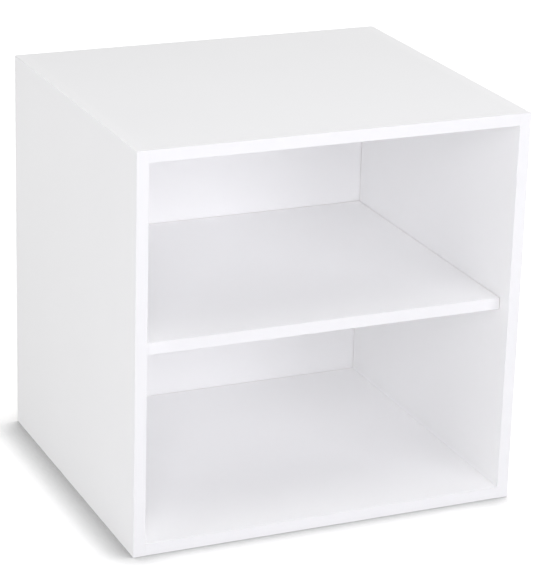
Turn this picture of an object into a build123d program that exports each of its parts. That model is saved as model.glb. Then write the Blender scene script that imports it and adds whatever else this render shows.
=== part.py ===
from build123d import *
import math
import os

# Cube storage unit: an open-fronted box of white melamine board with one loose shelf.
# Sizes are in millimetres. The origin is the middle of the footprint on the floor,
# +Z is up, +X is to the right and the open front faces -Y.

# Whole unit
UNIT_WIDTH = 400.0
UNIT_DEPTH = 350.0
UNIT_HEIGHT = 400.0

# Boards of the box and the edging strips glued to their edges
BOARD = 12.0
EDGING = 0.4
EDGING_LAND = 0.1  # square part of a strip's side, below its rounded arris

# Back panel and the groove that holds it
BACK_BOARD = 3.0
BACK_CLEARANCE = 0.5  # from the back panel's edges to the floor of the groove
GROOVE_WIDTH = 3.4
GROOVE_DEPTH = 5.0
GROOVE_FROM_REAR = 7.0

# Loose shelf, about half way up
SHELF_BOARD = 12.0
SHELF_ABOVE_MIDDLE = 2.0
SHELF_SETBACK = 18.0
SHELF_END_GAP = 0.4
SHELF_BACK_GAP = 0.5

# Blind holes in the inner faces of the side panels
SIDE_HOLE_SKIN = 3.0  # board left behind a blind hole
HOLE_END_GAP = 0.5  # room past the end of whatever sits in a hole
HOLE_CLEARANCE = 0.1  # room all round it

# Cam locks, in the undersides of the top and bottom panels
CAM_DIAMETER = 12.0
CAM_FROM_END = 24.0
CAM_FROM_FRONT = 45.0
CAM_FROM_REAR = 45.0
CAM_CLEARANCE = 0.1
CAM_RECESS = 0.2  # from the board's underside up to the cam's face
CAM_TOP_GAP = 0.2
CAM_SKIN = 2.0  # board left above a cam's bore
CAM_WALL = 1.0
CAM_THROW = 1.0  # how far half a turn draws the bolt in
CAM_RIM_CHAMFER = 0.3
DRIVER_SLOT_LENGTH = 6.6
DRIVER_SLOT_WIDTH = 1.4
DRIVER_SLOT_DEPTH = 1.8
ARROW_RADIUS = 0.8
ARROW_DEPTH = 0.4
ARROW_FROM_RIM = 1.3

# Cam bolts, screwed into the side panels
BOLT_THREAD = 5.0
BOLT_THREAD_DEPTH = 0.5
BOLT_THREAD_PITCH = 1.7
BOLT_COLLAR = 6.2
BOLT_COLLAR_LENGTH = 1.2
BOLT_SHANK = 4.6
BOLT_NECK = 3.2
BOLT_NECK_RUNOUT = 0.5  # thin neck that shows outside the cam
BOLT_HEAD = 5.0
BOLT_HEAD_LENGTH = 2.2
BOLT_HEAD_CHAMFER = 0.5
BOLT_HEAD_CLEARANCE = 0.2  # between the bolt's head or neck and the cam

# Wooden dowels, beside the cam bolts
DOWEL_DIAMETER = 6.0
DOWEL_FROM_CAM = 32.0
DOWEL_HOLE_IN_END = 20.0
DOWEL_CHAMFER = 0.8
DOWEL_FLUTES = 12
DOWEL_FLUTE_RADIUS = 0.35

# Shelf pins
PIN_PEG = 5.0
PIN_BAR = 7.0
PIN_BAR_LENGTH = 9.0
PIN_BAR_CHAMFER = 0.6
PIN_FLAT = 0.5  # depth of the flat that the shelf lies on
PIN_COLLAR = 9.0
PIN_COLLAR_LENGTH = 1.0
PIN_FROM_SHELF_EDGE = 37.0

# Places worked out from the sizes above
FRONT_Y = -UNIT_DEPTH / 2
REAR_Y = UNIT_DEPTH / 2
HALF_WIDTH = UNIT_WIDTH / 2
INNER_HALF_WIDTH = HALF_WIDTH - BOARD
INNER_WIDTH = 2 * INNER_HALF_WIDTH
TOP_UNDERSIDE = UNIT_HEIGHT - BOARD
EDGING_ROUND = EDGING - EDGING_LAND

CORE_DEPTH = UNIT_DEPTH - EDGING
CORE_MID_Y = EDGING / 2
SIDE_CORE_HEIGHT = UNIT_HEIGHT - EDGING

GROOVE_REAR_Y = REAR_Y - GROOVE_FROM_REAR
GROOVE_MID_Y = GROOVE_REAR_Y - GROOVE_WIDTH / 2
BACK_FRONT_Y = GROOVE_REAR_Y - BACK_BOARD

SHELF_UNDERSIDE = (UNIT_HEIGHT - SHELF_BOARD) / 2 + SHELF_ABOVE_MIDDLE
SHELF_LENGTH = INNER_WIDTH - 2 * SHELF_END_GAP
SHELF_FRONT_Y = FRONT_Y + SHELF_SETBACK
SHELF_REAR_Y = BACK_FRONT_Y - SHELF_BACK_GAP

SIDE_HOLE_DEPTH = BOARD - SIDE_HOLE_SKIN
HANDS = {"left": -1, "right": 1}
UNDERSIDES = {"top": TOP_UNDERSIDE, "bottom": 0.0}
CAM_ROWS = {"front": FRONT_Y + CAM_FROM_FRONT, "rear": REAR_Y - CAM_FROM_REAR}
DOWEL_ROWS = {
    "front": CAM_ROWS["front"] + DOWEL_FROM_CAM,
    "rear": CAM_ROWS["rear"] - DOWEL_FROM_CAM,
}
PIN_ROWS = {
    "front": SHELF_FRONT_Y + PIN_FROM_SHELF_EDGE,
    "rear": SHELF_REAR_Y - PIN_FROM_SHELF_EDGE,
}
PIN_AXIS_Z = SHELF_UNDERSIDE - PIN_BAR / 2 + PIN_FLAT

CAM_X = INNER_HALF_WIDTH - CAM_FROM_END
CAM_RADIUS = CAM_DIAMETER / 2
CAM_HEIGHT = BOARD - CAM_SKIN - CAM_TOP_GAP - CAM_RECESS
CAVITY_RADIUS = CAM_RADIUS - CAM_WALL - CAM_THROW / 2
CAVITY_HEIGHT = BOLT_HEAD + 2 * BOLT_HEAD_CLEARANCE

# The bolt's head stays inside the circle that the turning cavity always leaves free.
HEAD_CIRCLE = CAVITY_RADIUS - CAM_THROW / 2 - BOLT_HEAD_CLEARANCE
HEAD_SHOULDER = math.sqrt(HEAD_CIRCLE**2 - (BOLT_HEAD / 2) ** 2)


def save(builder, name):
    """Labels a finished piece and writes it to its own file."""
    builder.part.label = name
    export_step(builder.part, f"parts/{name}.step")


def places_on_side(rows, heights):
    """Places on a side panel's inner face, as (depth, height)."""
    return [(y, z) for y in rows.values() for z in heights]


def build_side_panel(name, hand):
    """Full-height side board with its back groove and the blind holes for the fittings."""
    inner_face = Plane.YZ.offset(hand * INNER_HALF_WIDTH)
    joint_heights = [underside + BOARD / 2 for underside in UNDERSIDES.values()]
    with BuildPart() as panel:
        with BuildSketch(inner_face):
            with Locations((CORE_MID_Y, SIDE_CORE_HEIGHT / 2)):
                Rectangle(CORE_DEPTH, SIDE_CORE_HEIGHT)
        extrude(amount=hand * BOARD)
        with BuildSketch(inner_face):
            with Locations((GROOVE_MID_Y, SIDE_CORE_HEIGHT / 2)):
                Rectangle(GROOVE_WIDTH, SIDE_CORE_HEIGHT)
        extrude(amount=hand * GROOVE_DEPTH, mode=Mode.SUBTRACT)
        with BuildSketch(inner_face):
            with Locations(*places_on_side(CAM_ROWS, joint_heights)):
                Circle(BOLT_THREAD / 2 + HOLE_CLEARANCE)
            with Locations(*places_on_side(DOWEL_ROWS, joint_heights)):
                Circle(DOWEL_DIAMETER / 2 + HOLE_CLEARANCE)
            with Locations(*places_on_side(PIN_ROWS, [PIN_AXIS_Z])):
                Circle(PIN_PEG / 2 + HOLE_CLEARANCE)
        extrude(amount=hand * SIDE_HOLE_DEPTH, mode=Mode.SUBTRACT)
    save(panel, name)


def build_cross_panel(name, underside, inner_face_z, into_board):
    """Top or bottom board with its back groove, cam bores and the holes in its two ends."""
    cam_places = [(hand * CAM_X, y) for hand in HANDS.values() for y in CAM_ROWS.values()]
    with BuildPart() as panel:
        with BuildSketch(Plane.XY.offset(underside)):
            with Locations((0, CORE_MID_Y)):
                Rectangle(INNER_WIDTH, CORE_DEPTH)
        extrude(amount=BOARD)
        with BuildSketch(Plane.XY.offset(inner_face_z)):
            with Locations((0, GROOVE_MID_Y)):
                Rectangle(INNER_WIDTH, GROOVE_WIDTH)
        extrude(amount=into_board * GROOVE_DEPTH, mode=Mode.SUBTRACT)
        with BuildSketch(Plane.XY.offset(underside)):
            with Locations(*cam_places):
                Circle(CAM_RADIUS + CAM_CLEARANCE)
        extrude(amount=BOARD - CAM_SKIN, mode=Mode.SUBTRACT)
        for hand in HANDS.values():
            end_face = Plane.YZ.offset(hand * INNER_HALF_WIDTH)
            with BuildSketch(end_face):
                with Locations(*places_on_side(CAM_ROWS, [underside + BOARD / 2])):
                    Circle(BOLT_COLLAR / 2 + HOLE_CLEARANCE)
            extrude(amount=-hand * CAM_FROM_END, mode=Mode.SUBTRACT)
            with BuildSketch(end_face):
                with Locations(*places_on_side(DOWEL_ROWS, [underside + BOARD / 2])):
                    Circle(DOWEL_DIAMETER / 2 + HOLE_CLEARANCE)
            extrude(amount=-hand * DOWEL_HOLE_IN_END, mode=Mode.SUBTRACT)
    save(panel, name)


def build_shelf():
    """Loose shelf board, without its edging."""
    front = SHELF_FRONT_Y + EDGING
    with BuildPart() as shelf:
        with BuildSketch(Plane.XY.offset(SHELF_UNDERSIDE)):
            with Locations((0, (front + SHELF_REAR_Y) / 2)):
                Rectangle(SHELF_LENGTH, SHELF_REAR_Y - front)
        extrude(amount=SHELF_BOARD)
    save(shelf, "shelf")


def build_back_panel():
    """Thin back sheet that stands in the groove and lies against the groove's rear wall."""
    lower_edge = BOARD - GROOVE_DEPTH
    upper_edge = TOP_UNDERSIDE + GROOVE_DEPTH - BACK_CLEARANCE
    width = INNER_WIDTH + 2 * (GROOVE_DEPTH - BACK_CLEARANCE)
    with BuildPart() as back:
        with BuildSketch(Plane.XY.offset(lower_edge)):
            with Locations((0, BACK_FRONT_Y + BACK_BOARD / 2)):
                Rectangle(width, BACK_BOARD)
        extrude(amount=upper_edge - lower_edge)
    save(back, "back_panel")


def build_upright_edging(name, hand):
    """Edging on a side panel's front edge, over the full height, with both arrises rounded."""
    with BuildPart() as strip:
        with BuildSketch(Plane.XY) as outline:
            with Locations((hand * (HALF_WIDTH - BOARD / 2), FRONT_Y + EDGING / 2)):
                Rectangle(BOARD, EDGING)
            fillet(outline.vertices().group_by(Axis.Y)[0], EDGING_ROUND)
        extrude(amount=UNIT_HEIGHT)
    save(strip, name)


def build_level_edging(name, length, front_y, underside, board):
    """Edging on the front edge of a level board, with both arrises rounded."""
    with BuildPart() as strip:
        with BuildSketch(Plane.YZ.offset(-length / 2)) as outline:
            with Locations((front_y + EDGING / 2, underside + board / 2)):
                Rectangle(EDGING, board)
            fillet(outline.vertices().group_by(Axis.X)[0], EDGING_ROUND)
        extrude(amount=length)
    save(strip, name)


def build_end_edging(name, hand):
    """Edging on a side panel's upper end, with its outer arris rounded."""
    start = Plane.XZ.offset(-(FRONT_Y + EDGING))
    with BuildPart() as strip:
        with BuildSketch(start) as outline:
            with Locations((hand * (HALF_WIDTH - BOARD / 2), UNIT_HEIGHT - EDGING / 2)):
                Rectangle(BOARD, EDGING)
            upper = outline.vertices().group_by(Axis.Y)[-1]
            fillet(upper.sort_by(Axis.X)[0 if hand < 0 else -1], EDGING_ROUND)
        extrude(amount=-CORE_DEPTH)
    save(strip, name)


def build_cam(name, hand, y, underside):
    """Cam lock, turned to its locked place, with the slot and cavity that take the bolt's head."""
    face = Plane((hand * CAM_X, y, underside + CAM_RECESS), x_dir=(hand, 0, 0), z_dir=(0, 0, 1))
    bolt_height = BOARD / 2 - CAM_RECESS
    neck_half = BOLT_NECK / 2 + BOLT_HEAD_CLEARANCE
    with BuildPart() as cam:
        with BuildSketch(face):
            Circle(CAM_RADIUS)
        extrude(amount=CAM_HEIGHT)
        chamfer(cam.edges().group_by(Axis.Z)[0], CAM_RIM_CHAMFER)
        with BuildSketch(face.offset(bolt_height - CAVITY_HEIGHT / 2)):
            # Cavity, set off centre so that turning the cam draws the bolt's head in
            with Locations((-CAM_THROW / 2, 0)):
                Circle(CAVITY_RADIUS)
            # Way in for the bolt's head, opposite the locked place
            Rectangle(CAM_DIAMETER, CAVITY_HEIGHT, align=(Align.MAX, Align.CENTER))
        extrude(amount=CAVITY_HEIGHT, mode=Mode.SUBTRACT)
        # Slot for the bolt's neck, through the wall over half a turn
        with BuildSketch(face.offset(bolt_height - neck_half)):
            with Locations((0, -neck_half)):
                Rectangle(2 * CAM_DIAMETER, CAM_DIAMETER, align=(Align.CENTER, Align.MIN))
        extrude(amount=2 * neck_half, mode=Mode.SUBTRACT)
        # Cross for the screwdriver and an arrow towards the way in
        with BuildSketch(face):
            Rectangle(DRIVER_SLOT_LENGTH, DRIVER_SLOT_WIDTH)
            Rectangle(DRIVER_SLOT_WIDTH, DRIVER_SLOT_LENGTH)
        extrude(amount=DRIVER_SLOT_DEPTH, mode=Mode.SUBTRACT)
        with BuildSketch(face):
            with Locations((-(CAM_RADIUS - ARROW_FROM_RIM), 0)):
                RegularPolygon(ARROW_RADIUS, 3, rotation=180)
        extrude(amount=ARROW_DEPTH, mode=Mode.SUBTRACT)
    save(cam, name)


def bolt_outline():
    """Half outline of a cam bolt, as (distance from the side panel towards the cam, radius)."""
    thread_length = SIDE_HOLE_DEPTH - HOLE_END_GAP
    crest = BOLT_THREAD / 2
    root = crest - BOLT_THREAD_DEPTH
    shank_end = CAM_FROM_END - CAM_RADIUS - CAM_CLEARANCE - BOLT_NECK_RUNOUT
    head_start = CAM_FROM_END - HEAD_SHOULDER
    head_end = head_start + BOLT_HEAD_LENGTH
    points = [(-thread_length, 0), (-thread_length, root)]
    turns = int(thread_length / BOLT_THREAD_PITCH)
    for turn in range(turns):
        start = turn * BOLT_THREAD_PITCH - thread_length
        points.append((start + BOLT_THREAD_PITCH / 2, crest))
        points.append((start + BOLT_THREAD_PITCH, root))
    points += [
        (0, root),
        (0, BOLT_COLLAR / 2),
        (BOLT_COLLAR_LENGTH, BOLT_COLLAR / 2),
        (BOLT_COLLAR_LENGTH, BOLT_SHANK / 2),
        (shank_end, BOLT_SHANK / 2),
        (shank_end, BOLT_NECK / 2),
        (head_start, BOLT_NECK / 2),
        (head_start, BOLT_HEAD / 2),
        (head_end - BOLT_HEAD_CHAMFER, BOLT_HEAD / 2),
        (head_end, BOLT_HEAD / 2 - BOLT_HEAD_CHAMFER),
        (head_end, 0),
    ]
    return points


def pin_outline():
    """Half outline of a shelf pin, as (distance from the side panel towards the shelf, radius)."""
    bar_end = PIN_COLLAR_LENGTH + PIN_BAR_LENGTH
    return [
        (HOLE_END_GAP - SIDE_HOLE_DEPTH, 0),
        (HOLE_END_GAP - SIDE_HOLE_DEPTH, PIN_PEG / 2),
        (0, PIN_PEG / 2),
        (0, PIN_COLLAR / 2),
        (PIN_COLLAR_LENGTH, PIN_COLLAR / 2),
        (PIN_COLLAR_LENGTH, PIN_BAR / 2),
        (bar_end - PIN_BAR_CHAMFER, PIN_BAR / 2),
        (bar_end, PIN_BAR / 2 - PIN_BAR_CHAMFER),
        (bar_end, 0),
    ]


def build_bolt(name, hand, y, underside):
    """Cam bolt, from its thread in the side panel to its head in the cam."""
    centre = (hand * INNER_HALF_WIDTH, y, underside + BOARD / 2)
    lengthwise = Plane(centre, x_dir=(-hand, 0, 0), z_dir=(0, 1, 0))
    with BuildPart() as bolt:
        with BuildSketch(lengthwise):
            with BuildLine():
                Polyline(*bolt_outline(), close=True)
            make_face()
        revolve(axis=Axis(lengthwise.origin, lengthwise.x_dir))
    save(bolt, name)


def build_dowel(name, hand, y, underside):
    """Fluted dowel, half in the side panel and half in the board's end."""
    length = SIDE_HOLE_DEPTH + DOWEL_HOLE_IN_END - 2 * HOLE_END_GAP
    start = hand * (INNER_HALF_WIDTH + SIDE_HOLE_DEPTH - HOLE_END_GAP)
    end_face = Plane((start, y, underside + BOARD / 2), x_dir=(0, 1, 0), z_dir=(-hand, 0, 0))
    with BuildPart() as dowel:
        with BuildSketch(end_face):
            Circle(DOWEL_DIAMETER / 2)
        extrude(amount=length)
        chamfer(dowel.edges().filter_by(GeomType.CIRCLE), DOWEL_CHAMFER)
        with BuildSketch(end_face):
            with PolarLocations(DOWEL_DIAMETER / 2, DOWEL_FLUTES):
                Circle(DOWEL_FLUTE_RADIUS)
        extrude(amount=length, mode=Mode.SUBTRACT)
    save(dowel, name)


def build_shelf_pin(name, hand, y):
    """Shelf pin with a peg in the side panel and a flat-topped bar under the shelf."""
    lengthwise = Plane((hand * INNER_HALF_WIDTH, y, PIN_AXIS_Z), x_dir=(-hand, 0, 0), z_dir=(0, 1, 0))
    reach = PIN_COLLAR_LENGTH + PIN_BAR_LENGTH
    with BuildPart() as pin:
        with BuildSketch(lengthwise):
            with BuildLine():
                Polyline(*pin_outline(), close=True)
            make_face()
        revolve(axis=Axis(lengthwise.origin, lengthwise.x_dir))
        with BuildSketch(Plane.XY.offset(SHELF_UNDERSIDE)):
            with Locations((hand * (INNER_HALF_WIDTH - reach / 2), y)):
                Rectangle(reach, PIN_COLLAR)
        extrude(amount=PIN_COLLAR, mode=Mode.SUBTRACT)
    save(pin, name)


os.makedirs("parts", exist_ok=True)

build_cross_panel("top_panel", TOP_UNDERSIDE, TOP_UNDERSIDE, 1)
build_cross_panel("bottom_panel", 0.0, BOARD, -1)
build_shelf()
build_back_panel()
build_level_edging("top_front_edging", INNER_WIDTH, FRONT_Y, TOP_UNDERSIDE, BOARD)
build_level_edging("bottom_front_edging", INNER_WIDTH, FRONT_Y, 0.0, BOARD)
build_level_edging("shelf_front_edging", SHELF_LENGTH, SHELF_FRONT_Y, SHELF_UNDERSIDE, SHELF_BOARD)

for side, hand in HANDS.items():
    build_side_panel(f"{side}_side_panel", hand)
    build_upright_edging(f"{side}_side_front_edging", hand)
    build_end_edging(f"{side}_side_top_edging", hand)
    for row in CAM_ROWS:
        build_shelf_pin(f"{side}_{row}_shelf_pin", hand, PIN_ROWS[row])
        for level, underside in UNDERSIDES.items():
            corner = f"{level}_{side}_{row}"
            build_cam(f"{corner}_cam", hand, CAM_ROWS[row], underside)
            build_bolt(f"{corner}_cam_bolt", hand, CAM_ROWS[row], underside)
            build_dowel(f"{corner}_dowel", hand, DOWEL_ROWS[row], underside)
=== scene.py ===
import math

import bmesh
import bpy
from mathutils import Euler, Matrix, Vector


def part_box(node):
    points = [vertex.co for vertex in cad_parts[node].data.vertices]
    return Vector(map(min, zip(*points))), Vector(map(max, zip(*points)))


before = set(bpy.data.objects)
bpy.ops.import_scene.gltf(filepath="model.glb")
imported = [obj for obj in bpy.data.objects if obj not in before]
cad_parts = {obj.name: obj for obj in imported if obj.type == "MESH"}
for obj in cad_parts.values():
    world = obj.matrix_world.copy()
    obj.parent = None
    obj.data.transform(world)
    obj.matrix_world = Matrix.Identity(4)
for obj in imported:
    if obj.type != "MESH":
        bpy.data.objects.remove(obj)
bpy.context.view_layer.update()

# White cube storage unit: its finishes, and the light, floor and camera it is shown with.
# Everything is in metres, in the model's own frame: the front faces -Y and +Z is up.
X, Y, Z = 0, 1, 2

# Camera, at the photograph's viewing angle
CAMERA_PLACE = (-0.958, -2.179, 1.055)
CAMERA_HEADING = 24.06  # degrees to the right of straight at the front
CAMERA_DIP = 20.04  # degrees below level
CAMERA_ROLL = 1.65  # degrees
CAMERA_LENS = 157.15  # millimetres, as is the sensor
CAMERA_SENSOR = 36.0

# Lamps: place, width, height, power in watts and tint
COOL_LIGHT = (0.958, 0.948, 1.0)
WHITE_LIGHT = (1.0, 1.0, 1.0)
LAMPS = {
    "front_left_softbox": ((-0.85, -2.3, 1.2), 1.2, 1.2, 27.6, COOL_LIGHT),
    "front_right_softbox": ((1.0, -2.28, 0.92), 1.2, 1.2, 20.6, COOL_LIGHT),
    "left_softbox": ((-2.5, -0.25, 0.8), 1.4, 1.0, 15.9, WHITE_LIGHT),
    "overhead_softbox": ((0.2, -0.35, 2.35), 1.6, 1.6, 18.3, WHITE_LIGHT),
    "right_softbox": ((2.6, 0.1, 0.9), 1.4, 1.0, 24.0, WHITE_LIGHT),
    "rear_softbox": ((-0.7, 2.6, 1.0), 1.4, 1.0, 24.0, WHITE_LIGHT),
}
LAMP_AIM = (0.0, 0.0, 0.2)  # the middle of the unit
WORLD_LIGHT = 0.15
WORLD_WHITE = (1.0, 1.0, 1.0, 1.0)
WHITE_BOUNCES = 12  # light goes on between the white boards inside the compartments

# Floor
FLOOR_HALF = 12.0
FLOOR_DROP = 0.0002  # below the boards' undersides, so that the two don't share a plane
FLOOR_WHITE = 0.8  # as it lights the unit
FLOOR_WHITE_SEEN = 0.5  # the part of what the camera sees that takes the shadows
FLOOR_GLOW = 0.72  # the rest of what the camera sees, beside the unit
FLOOR_GLOW_FAR = 1.0
FLOOR_GLOW_START = 0.3
FLOOR_GLOW_REACH = 1.6
# Painted contact shade on the floor: ambient occlusion darkens what the camera sees of it near the foot of
# the boards
CONTACT_REACH = 0.04  # how far the dark line along the foot of the boards spreads
CONTACT_DEPTH = 0.92
CONTACT_LEAN = (0.48, 0.32, 0.82)  # the dark line is deepest to the left and in front
CONTACT_SAMPLES = 4

# Boards, with the axis of each one's thickness
BOARD_AXES = {
    "left_side_panel": X,
    "right_side_panel": X,
    "top_panel": Z,
    "bottom_panel": Z,
    "shelf": Z,
}

# Skins: pebbles and clouds to the metre
BOARD_SKIN = {"Grain": 950.0, "Clouds": 7.0}
EDGING_SKIN = {"Grain": 1400.0, "Clouds": 14.0}
LACQUER_SKIN = {"Grain": 700.0, "Clouds": 5.0}
FINE_GRAIN = 2.3  # fine grains to a pebble
FINE_SHARE = 0.45  # of the skin's relief

# Sawn chipboard: chips, splinters and dust to the metre, and the layers where the coarse core starts
CHIPS = 260.0
SPLINTERS = 800.0
DUST = 1100.0
CHIP_FLATNESS = 2.6
CORE_START = 0.25
CORE_FULL = 0.6

# Scales that draw a pattern out: along the edging, round the pins and bolts, and along the dowels
SCRAPER_DRAW = 0.01
RING_DRAW = (1.0, 0.02, 0.02)
BEECH_DRAW = (0.08, 1.0, 1.0)

# Reliefs: strength and depth
BOARD_RELIEF = (0.6, 0.0004)
EDGING_RELIEF = (0.25, 0.00005)
HARDBOARD_RELIEF = (0.5, 0.0003)
ZINC_RELIEF = (0.3, 0.0001)
STEEL_RELIEF = (0.25, 0.00005)
BEECH_RELIEF = (0.3, 0.0002)
MELAMINE_SHARE = 0.1  # of the relief of the sawn edges
LACQUER_SHARE = 0.08  # of the relief of the raw hardboard

# Roughness, with both ends of the range where it varies
MELAMINE_ROUGHNESS = (0.54, 0.66)
CHIPBOARD_ROUGHNESS = 0.9
EDGING_ROUGHNESS = (0.4, 0.54)
LACQUER_ROUGHNESS = 0.52
HARDBOARD_ROUGHNESS = 0.85
ZINC_ROUGHNESS = (0.38, 0.58)
STEEL_ROUGHNESS = (0.18, 0.4)
BEECH_ROUGHNESS = 0.7

# Colours: both ends of the range, or stops from dark to pale
BOARD_WHITES = ((0.94, 0.94, 0.94, 1.0), (0.928, 0.928, 0.929, 1.0))
# The front edging's whites sit below the boards' white as painted shade, which offsets the front softboxes
# falling full on the front edges; the end edging keeps the boards' white
PAINTED_SHADE_EDGING_WHITES = ((0.815, 0.815, 0.818, 1.0), (0.803, 0.803, 0.807, 1.0))
LACQUER_WHITES = ((0.935, 0.935, 0.935, 1.0), (0.924, 0.924, 0.926, 1.0))
ZINC_GREYS = ((0.48, 0.49, 0.5, 1.0), (0.68, 0.69, 0.7, 1.0))
STEEL_GREYS = ((0.62, 0.61, 0.57, 1.0), (0.78, 0.78, 0.77, 1.0))
CHIPBOARD_BROWNS = (
    (0.12, (0.16, 0.092, 0.045, 1.0)),
    (0.4, (0.37, 0.243, 0.132, 1.0)),
    (0.65, (0.52, 0.375, 0.22, 1.0)),
    (0.9, (0.66, 0.505, 0.325, 1.0)),
)
HARDBOARD_BROWNS = (
    (0.28, (0.165, 0.092, 0.047, 1.0)),
    (0.5, (0.25, 0.15, 0.082, 1.0)),
    (0.72, (0.345, 0.22, 0.128, 1.0)),
)
BEECH_BROWNS = (
    (0.25, (0.42, 0.25, 0.13, 1.0)),
    (0.5, (0.6, 0.41, 0.24, 1.0)),
    (0.75, (0.71, 0.53, 0.34, 1.0)),
)
FACE_LIMIT = 0.7  # a surface that faces further than this along an axis is a face, not an edge


def add(tree, kind, inputs=None, **settings):
    """A new node with its settings, and its inputs linked to sockets or set to values."""
    made = tree.nodes.new(kind)
    for key, value in settings.items():
        setattr(made, key, value)
    for key, value in (inputs or {}).items():
        if isinstance(value, bpy.types.NodeSocket):
            tree.links.new(value, made.inputs[key])
        else:
            made.inputs[key].default_value = value
    return made


def new_group(name, inputs, outputs):
    """An empty shader node group with named sockets, its input node and its output node."""
    tree = bpy.data.node_groups.new(name, "ShaderNodeTree")
    for socket, kind in inputs.items():
        tree.interface.new_socket(socket, in_out="INPUT", socket_type=kind)
    for socket, kind in outputs.items():
        tree.interface.new_socket(socket, in_out="OUTPUT", socket_type=kind)
    return tree, add(tree, "NodeGroupInput"), add(tree, "NodeGroupOutput")


def use_group(tree, group, inputs):
    """A node group placed in a material with its own values."""
    return add(tree, "ShaderNodeGroup", inputs, node_tree=group)


def math_node(tree, operation, first, second=0.0):
    """The result of a sum on two values or sockets."""
    return add(tree, "ShaderNodeMath", {0: first, 1: second}, operation=operation).outputs[0]


def mix_colours(tree, factor, first, second):
    """The first colour where factor is 0 and the second where it is 1."""
    return add(tree, "ShaderNodeMix", {0: factor, 6: first, 7: second}, data_type="RGBA").outputs[2]


def mix_values(tree, factor, first, second):
    """The first value where factor is 0 and the second where it is 1."""
    return add(tree, "ShaderNodeMix", {0: factor, 2: first, 3: second}, data_type="FLOAT").outputs[0]


def ramp(tree, factor, stops):
    """A colour ramp through (position, colour) stops."""
    made = add(tree, "ShaderNodeValToRGB", {0: factor})
    elements = made.color_ramp.elements
    while len(elements) < len(stops):
        elements.new(0.5)
    for element, (position, colour) in zip(elements, stops):
        element.position = position
        element.color = colour
    return made.outputs[0]


def along_axis(tree, vector, axis):
    """One part of a place or a normal."""
    return add(tree, "ShaderNodeSeparateXYZ", {0: vector}).outputs[axis]


def noise(tree, place, scale, detail, distortion=0.0):
    """Soft random patches, scale of them to the metre."""
    inputs = {"Vector": place, "Scale": scale, "Detail": detail, "Distortion": distortion}
    return add(tree, "ShaderNodeTexNoise", inputs).outputs[0]


def cells(tree, place, scale):
    """Random cells, scale of them to the metre: the outputs are Distance and Color."""
    return add(tree, "ShaderNodeTexVoronoi", {"Vector": place, "Scale": scale}).outputs


def drawn_out(tree, place, scales):
    """Places for a pattern that is drawn out along each axis where the scale is below 1."""
    return add(tree, "ShaderNodeMapping", {"Vector": place, "Scale": scales}).outputs[0]


def satin_group():
    """Fine pebbled skin of melamine, lacquer and plastic, and the faint clouds in its tone."""
    tree, given, result = new_group(
        "Satin skin",
        {"Place": "NodeSocketVector", "Grain": "NodeSocketFloat", "Clouds": "NodeSocketFloat"},
        {"Height": "NodeSocketFloat", "Cloud": "NodeSocketFloat"},
    )
    place, grain, clouds = (given.outputs[name] for name in ("Place", "Grain", "Clouds"))
    pebbles = cells(tree, place, grain)["Distance"]
    fine = noise(tree, place, scale=math_node(tree, "MULTIPLY", grain, FINE_GRAIN), detail=2.0)
    tree.links.new(mix_values(tree, FINE_SHARE, pebbles, fine), result.inputs["Height"])
    tree.links.new(noise(tree, place, scale=clouds, detail=3.0), result.inputs["Cloud"])
    return tree


def chipboard_group():
    """Sawn particle board: flat chips of mixed browns in the middle, fine dust near the faces.
    Layer is 1 in the middle of the board and 0 at its faces."""
    tree, given, result = new_group(
        "Sawn chipboard",
        {"Place": "NodeSocketVector", "Stretch": "NodeSocketVector", "Layer": "NodeSocketFloat"},
        {"Color": "NodeSocketColor", "Height": "NodeSocketFloat"},
    )
    flat = add(
        tree, "ShaderNodeVectorMath", {0: given.outputs["Place"], 1: given.outputs["Stretch"]},
        operation="MULTIPLY",
    ).outputs[0]
    chips = cells(tree, flat, CHIPS)
    splinters = cells(tree, flat, SPLINTERS)
    dust = noise(tree, flat, scale=DUST, detail=3.0)
    chip_tone = add(tree, "ShaderNodeSeparateColor", {0: chips["Color"]}).outputs[0]
    splinter_tone = add(tree, "ShaderNodeSeparateColor", {0: splinters["Color"]}).outputs[1]
    core_tone = mix_values(tree, 0.3, mix_values(tree, 0.45, chip_tone, splinter_tone), dust)
    face_tone = mix_values(tree, 0.3, dust, splinter_tone)
    in_core = add(tree, "ShaderNodeMapRange", {
        "Value": given.outputs["Layer"], "From Min": CORE_START, "From Max": CORE_FULL,
    }, interpolation_type="SMOOTHSTEP").outputs["Result"]
    colour = ramp(tree, mix_values(tree, in_core, face_tone, core_tone), CHIPBOARD_BROWNS)
    core_height = mix_values(tree, 0.5, chips["Distance"], dust)
    face_height = math_node(tree, "MULTIPLY", dust, 0.4)
    height = mix_values(tree, in_core, face_height, core_height)
    tree.links.new(colour, result.inputs["Color"])
    tree.links.new(height, result.inputs["Height"])
    return tree


def new_material(name):
    """A material with its node tree, and the Object coordinates and normals of the piece."""
    material = bpy.data.materials.new(name)
    material.use_nodes = True
    tree = material.node_tree
    piece = add(tree, "ShaderNodeTexCoord")
    return material, tree, piece.outputs["Object"], piece.outputs["Normal"]


def dress(tree, colour, roughness, height, relief, metallic=0.0):
    """Puts a finish on the material's shader: colour, roughness, metal or not, and surface relief."""
    shader = tree.nodes["Principled BSDF"]
    tree.links.new(colour, shader.inputs["Base Color"])
    if isinstance(roughness, bpy.types.NodeSocket):
        tree.links.new(roughness, shader.inputs["Roughness"])
    else:
        shader.inputs["Roughness"].default_value = roughness
    shader.inputs["Metallic"].default_value = metallic
    strength, depth = relief
    bump = add(tree, "ShaderNodeBump", {"Strength": strength, "Distance": depth, "Height": height})
    tree.links.new(bump.outputs[0], shader.inputs["Normal"])


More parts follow.
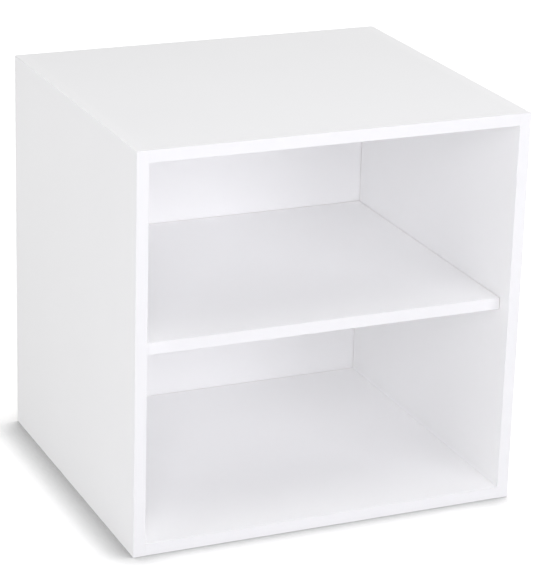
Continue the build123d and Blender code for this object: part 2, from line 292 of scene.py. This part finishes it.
def melamine_board(board, across, satin, chipboard):
    """White melamine on the two faces of a board, sawn chipboard on its edges and in its holes.
    across is the axis of the board's thickness."""
    material, tree, place, normal = new_material(f"melamine_{board}")
    skin = use_group(tree, satin, {"Place": place, **BOARD_SKIN})
    stretch = [1.0, 1.0, 1.0]
    stretch[across] = CHIP_FLATNESS
    one_face, other_face = (corner[across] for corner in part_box(board))
    # 0 at one face of the board, 1 in its middle and 2 at the other face
    through = add(tree, "ShaderNodeMapRange", {
        "Value": along_axis(tree, place, across),
        "From Min": one_face, "From Max": other_face, "To Min": 0.0, "To Max": 2.0,
    })
    layer = math_node(tree, "PINGPONG", through.outputs["Result"], 1.0)
    core = use_group(tree, chipboard, {"Place": place, "Stretch": stretch, "Layer": layer})
    facing = math_node(tree, "ABSOLUTE", along_axis(tree, normal, across))
    on_face = math_node(tree, "GREATER_THAN", facing, FACE_LIMIT)
    white = mix_colours(tree, skin.outputs["Cloud"], *BOARD_WHITES)
    colour = mix_colours(tree, on_face, core.outputs["Color"], white)
    satin_roughness = mix_values(tree, skin.outputs["Cloud"], *MELAMINE_ROUGHNESS)
    roughness = mix_values(tree, on_face, CHIPBOARD_ROUGHNESS, satin_roughness)
    satin_height = math_node(tree, "MULTIPLY", skin.outputs["Height"], MELAMINE_SHARE)
    height = mix_values(tree, on_face, core.outputs["Height"], satin_height)
    dress(tree, colour, roughness, height, BOARD_RELIEF)
    return material


def edging_plastic(name, along, satin, whites):
    """Smooth white edging with faint scraper lines along the strip. On the front edging the given whites
    are toned down below the boards' white as painted shade.
    """
    material, tree, place, _ = new_material(name)
    skin = use_group(tree, satin, {"Place": place, **EDGING_SKIN})
    scales = [1.0, 1.0, 1.0]
    scales[along] = SCRAPER_DRAW
    lines = noise(tree, drawn_out(tree, place, scales), scale=2600.0, detail=2.0)
    white = mix_colours(tree, skin.outputs["Cloud"], *whites)
    roughness = mix_values(tree, lines, *EDGING_ROUGHNESS)
    height = mix_values(tree, 0.5, skin.outputs["Height"], lines)
    dress(tree, white, roughness, height, EDGING_RELIEF)
    return material


def lacquered_hardboard(name, satin):
    """White lacquer on the face towards the inside, and behind it raw brown fibreboard with the marks
    of a wire screen."""
    material, tree, place, normal = new_material(name)
    skin = use_group(tree, satin, {"Place": place, **LACQUER_SKIN})
    on_front = math_node(tree, "LESS_THAN", along_axis(tree, normal, Y), -FACE_LIMIT)
    white = mix_colours(tree, skin.outputs["Cloud"], *LACQUER_WHITES)
    fibres = noise(tree, place, scale=420.0, detail=6.0, distortion=1.2)
    blotches = noise(tree, place, scale=22.0, detail=4.0)
    brown = ramp(tree, mix_values(tree, 0.16, fibres, blotches), HARDBOARD_BROWNS)
    wires = [
        add(tree, "ShaderNodeTexWave", {"Vector": place, "Scale": 210.0, "Distortion": 0.6, "Detail": 1.0},
            bands_direction=direction).outputs[1]
        for direction in ("X", "Z")
    ]
    screen = math_node(tree, "MULTIPLY", *wires)
    colour = mix_colours(tree, on_front, brown, white)
    roughness = mix_values(tree, on_front, HARDBOARD_ROUGHNESS, LACQUER_ROUGHNESS)
    raw_height = mix_values(tree, 0.5, screen, fibres)
    satin_height = math_node(tree, "MULTIPLY", skin.outputs["Height"], LACQUER_SHARE)
    height = mix_values(tree, on_front, raw_height, satin_height)
    dress(tree, colour, roughness, height, HARDBOARD_RELIEF)
    return material


def cast_zinc(name):
    """Dull die-cast zinc with a faint skin of casting marks."""
    material, tree, place, _ = new_material(name)
    blotches = noise(tree, place, scale=700.0, detail=4.0)
    pits = cells(tree, place, 1800.0)["Distance"]
    grey = mix_colours(tree, blotches, *ZINC_GREYS)
    roughness = mix_values(tree, blotches, *ZINC_ROUGHNESS)
    dress(tree, grey, roughness, pits, ZINC_RELIEF, metallic=1.0)
    return material


def plated_steel(name):
    """Bright zinc plating over turned steel, with fine rings round the pin's length along X."""
    material, tree, place, _ = new_material(name)
    rings = noise(tree, drawn_out(tree, place, RING_DRAW), scale=5200.0, detail=2.0)
    tarnish = noise(tree, place, scale=260.0, detail=4.0)
    grey = mix_colours(tree, tarnish, *STEEL_GREYS)
    roughness = mix_values(tree, rings, *STEEL_ROUGHNESS)
    dress(tree, grey, roughness, rings, STEEL_RELIEF, metallic=1.0)
    return material


def beech(name):
    """Raw beech with its grain and short ray flecks along X."""
    material, tree, place, _ = new_material(name)
    lengthwise = drawn_out(tree, place, BEECH_DRAW)
    grain = noise(tree, lengthwise, scale=900.0, detail=5.0, distortion=0.4)
    flecks = cells(tree, lengthwise, 1500.0)["Distance"]
    wood = ramp(tree, mix_values(tree, 0.35, grain, flecks), BEECH_BROWNS)
    dress(tree, wood, BEECH_ROUGHNESS, grain, BEECH_RELIEF)
    return material


def finish_nodes():
    """Gives every piece of the unit its finish: that of the first of these endings that its name has."""
    satin = satin_group()
    chipboard = chipboard_group()
    finishes = {
        board: melamine_board(board, across, satin, chipboard)
        for board, across in BOARD_AXES.items()
    }
    finishes["back_panel"] = lacquered_hardboard("lacquered_hardboard", satin)
    # The front edging takes the darker whites: painted shade against the front lamps
    finishes["_side_front_edging"] = edging_plastic("edging_upright", Z, satin, PAINTED_SHADE_EDGING_WHITES)
    finishes["_front_edging"] = edging_plastic("edging_level", X, satin, PAINTED_SHADE_EDGING_WHITES)
    finishes["_side_top_edging"] = edging_plastic("edging_end", Y, satin, BOARD_WHITES)
    finishes["_cam"] = cast_zinc("cast_zinc")
    finishes["_cam_bolt"] = plated_steel("plated_steel")
    finishes["_shelf_pin"] = finishes["_cam_bolt"]
    finishes["_dowel"] = beech("raw_beech")
    for name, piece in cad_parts.items():
        finish = next(finish for ending, finish in finishes.items() if name.endswith(ending))
        piece.data.materials.clear()
        piece.data.materials.append(finish)


def looked_at(tree):
    """1 for what the camera sees, straight or in metal or through glass, and 0 for light on its way."""
    path = add(tree, "ShaderNodeLightPath").outputs
    by_metal_or_glass = math_node(tree, "MAXIMUM", path["Is Glossy Ray"], path["Is Transmission Ray"])
    return math_node(tree, "MAXIMUM", path["Is Camera Ray"], by_metal_or_glass)


def white_floor():
    """Plain white to the light. The camera sees it near white further off, with the unit's shadow and
    the dark line along the foot of the boards, which is painted contact shade."""
    material = bpy.data.materials.new("white_floor")
    material.use_nodes = True
    tree = material.node_tree
    tree.nodes.remove(tree.nodes["Principled BSDF"])
    lean = add(tree, "ShaderNodeCombineXYZ", dict(enumerate(CONTACT_LEAN)))
    # Painted shade: ambient occlusion darkens the floor as the camera sees it near the boards, leaned so
    # it is deepest to the left and in front
    painted_contact_shade = add(
        tree, "ShaderNodeAmbientOcclusion", {"Distance": CONTACT_REACH, "Normal": lean.outputs[0]},
        samples=CONTACT_SAMPLES, only_local=False,
    )
    depth = math_node(tree, "POWER", painted_contact_shade.outputs["AO"], CONTACT_DEPTH)
    seen_white = math_node(tree, "MULTIPLY", depth, FLOOR_WHITE_SEEN)
    place = add(tree, "ShaderNodeTexCoord").outputs["Object"]
    distance = add(tree, "ShaderNodeVectorMath", {0: place}, operation="LENGTH").outputs["Value"]
    far = add(tree, "ShaderNodeMapRange", {
        "Value": distance, "From Min": FLOOR_GLOW_START, "From Max": FLOOR_GLOW_REACH,
        "To Min": FLOOR_GLOW, "To Max": FLOOR_GLOW_FAR,
    }, interpolation_type="SMOOTHSTEP")
    seen_glow = math_node(tree, "MULTIPLY", depth, far.outputs["Result"])
    grey = add(tree, "ShaderNodeCombineColor", {0: seen_white, 1: seen_white, 2: seen_white})
    matt = add(tree, "ShaderNodeBsdfDiffuse", {"Color": grey.outputs[0]})
    glow = add(tree, "ShaderNodeEmission", {"Strength": seen_glow})
    seen = add(tree, "ShaderNodeAddShader", {0: matt.outputs[0], 1: glow.outputs[0]})
    plain = add(tree, "ShaderNodeBsdfDiffuse", {"Color": (FLOOR_WHITE, FLOOR_WHITE, FLOOR_WHITE, 1.0)})
    both = add(tree, "ShaderNodeMixShader", {0: looked_at(tree), 1: plain.outputs[0], 2: seen.outputs[0]})
    tree.links.new(both.outputs[0], tree.nodes["Material Output"].inputs["Surface"])
    return material


def lay_floor():
    """A wide flat floor just under the unit."""
    mesh = bpy.data.meshes.new("floor")
    floor = bpy.data.objects.new("floor", mesh)
    sheet = bmesh.new()
    bmesh.ops.create_grid(sheet, x_segments=1, y_segments=1, size=FLOOR_HALF)
    bmesh.ops.translate(sheet, verts=sheet.verts, vec=(0.0, 0.0, -FLOOR_DROP))
    sheet.to_mesh(mesh)
    sheet.free()
    bpy.context.scene.collection.objects.link(floor)
    mesh.materials.append(white_floor())


def light_world():
    """Even light from all round, and plain white where the camera sees past the floor."""
    world = bpy.data.worlds.new("studio")
    bpy.context.scene.world = world
    world.use_nodes = True
    tree = world.node_tree
    even = tree.nodes["Background"]
    even.inputs["Color"].default_value = WORLD_WHITE
    even.inputs["Strength"].default_value = WORLD_LIGHT
    white = add(tree, "ShaderNodeBackground", {"Color": WORLD_WHITE, "Strength": 1.0})
    both = add(tree, "ShaderNodeMixShader", {0: looked_at(tree), 1: even.outputs[0], 2: white.outputs[0]})
    tree.links.new(both.outputs[0], tree.nodes["World Output"].inputs["Surface"])


def hang_lamps():
    """Softboxes that face the unit and don't mirror in its boards."""
    for name, (place, width, height, power, tint) in LAMPS.items():
        lamp = bpy.data.lights.new(name, "AREA")
        lamp.shape = "RECTANGLE"
        lamp.size = width
        lamp.size_y = height
        lamp.energy = power
        lamp.color = tint
        holder = bpy.data.objects.new(name, lamp)
        holder.location = place
        holder.rotation_euler = (Vector(LAMP_AIM) - Vector(place)).to_track_quat("-Z", "Y").to_euler()
        holder.visible_camera = False
        holder.visible_glossy = False
        bpy.context.scene.collection.objects.link(holder)


def set_camera():
    """The photograph's view: from the left of the front, looking down at the unit."""
    data = bpy.data.cameras.new("camera")
    data.lens = CAMERA_LENS
    data.sensor_width = CAMERA_SENSOR
    camera = bpy.data.objects.new("camera", data)
    tilt = Euler((math.radians(90 - CAMERA_DIP), 0.0, -math.radians(CAMERA_HEADING))).to_matrix()
    roll = Euler((0.0, 0.0, math.radians(CAMERA_ROLL))).to_matrix()
    camera.rotation_euler = (tilt @ roll).to_euler()
    camera.location = CAMERA_PLACE
    bpy.context.scene.collection.objects.link(camera)
    bpy.context.scene.camera = camera


finish_nodes()
lay_floor()
light_world()
hang_lamps()
set_camera()
bpy.context.scene.view_settings.view_transform = "Standard"
bpy.context.scene.cycles.diffuse_bounces = WHITE_BOUNCES
